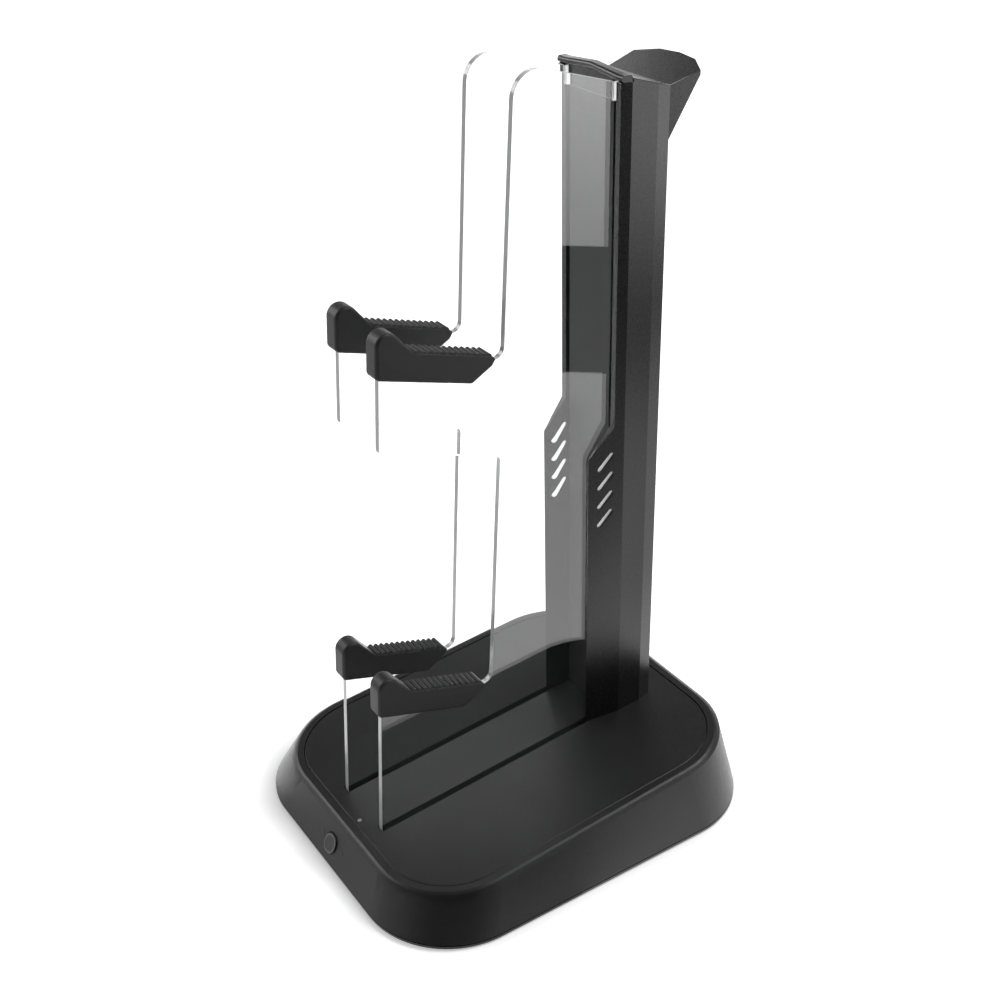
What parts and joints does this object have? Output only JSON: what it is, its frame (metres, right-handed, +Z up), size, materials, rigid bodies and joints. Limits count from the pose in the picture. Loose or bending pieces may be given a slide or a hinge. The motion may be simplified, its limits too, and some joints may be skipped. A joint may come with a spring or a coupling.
{
  "type": "controller and headset stand",
  "caption": "Desk stand with a wedge base, a faceted column with a headset rest on top, and clear panels whose rubber-capped arms hold game controllers on an upper and a lower shelf.",
  "frame": {"origin": "on the ground under the middle of the base's foot outline", "axes": "+X to the right, +Y from the button to the back, +Z up"},
  "size_m": [0.1576, 0.1836, 0.3248],
  "materials": {
    "base_plastic": "satin black moulded plastic with a fine grain",
    "column_plastic": "satin black moulded plastic with a fine grain",
    "acrylic": "clear polished sheet",
    "grip_rubber": "matte black moulded rubber",
    "foot_rubber": "matte dark grey rubber",
    "steel": "plated",
    "button_plastic": "satin black",
    "lens_plastic": "milky light pipe",
    "board": "green coated board",
    "lamp_strip": "white coated strip",
    "switch_plastic": "moulded"
  },
  "bodies": {
    "stand": {"base_housing": "base_plastic", "base_top_plate": "base_plastic", "base_bottom_plate": "base_plastic", "front_left_foot": "foot_rubber", "front_right_foot": "foot_rubber", "rear_left_foot": "foot_rubber", "rear_right_foot": "foot_rubber", "base_screws": "steel", "column_shell": "column_plastic", "column_spine": "column_plastic", "column_screws": "steel", "top_cap": "column_plastic", "left_panel": "acrylic", "right_panel": "acrylic", "left_light_bar": "lamp_strip", "right_light_bar": "lamp_strip", "upper_left_grip": "grip_rubber", "upper_right_grip": "grip_rubber", "lower_left_grip": "grip_rubber", "lower_right_grip": "grip_rubber", "button_switch": "switch_plastic", "control_board": "board", "indicator_lens": "lens_plastic", "power_socket": "steel", "power_board": "board"},
    "button": {"mode_button": "button_plastic", "switch_plunger": "switch_plastic"}
  },
  "joints": [
    {"name": "button_press", "type": "slide", "parent": "stand", "child": "button", "axis": [0, 1, 0], "range_m": [0, 0.0008], "stiffness_N_per_m": 200}
  ]
}
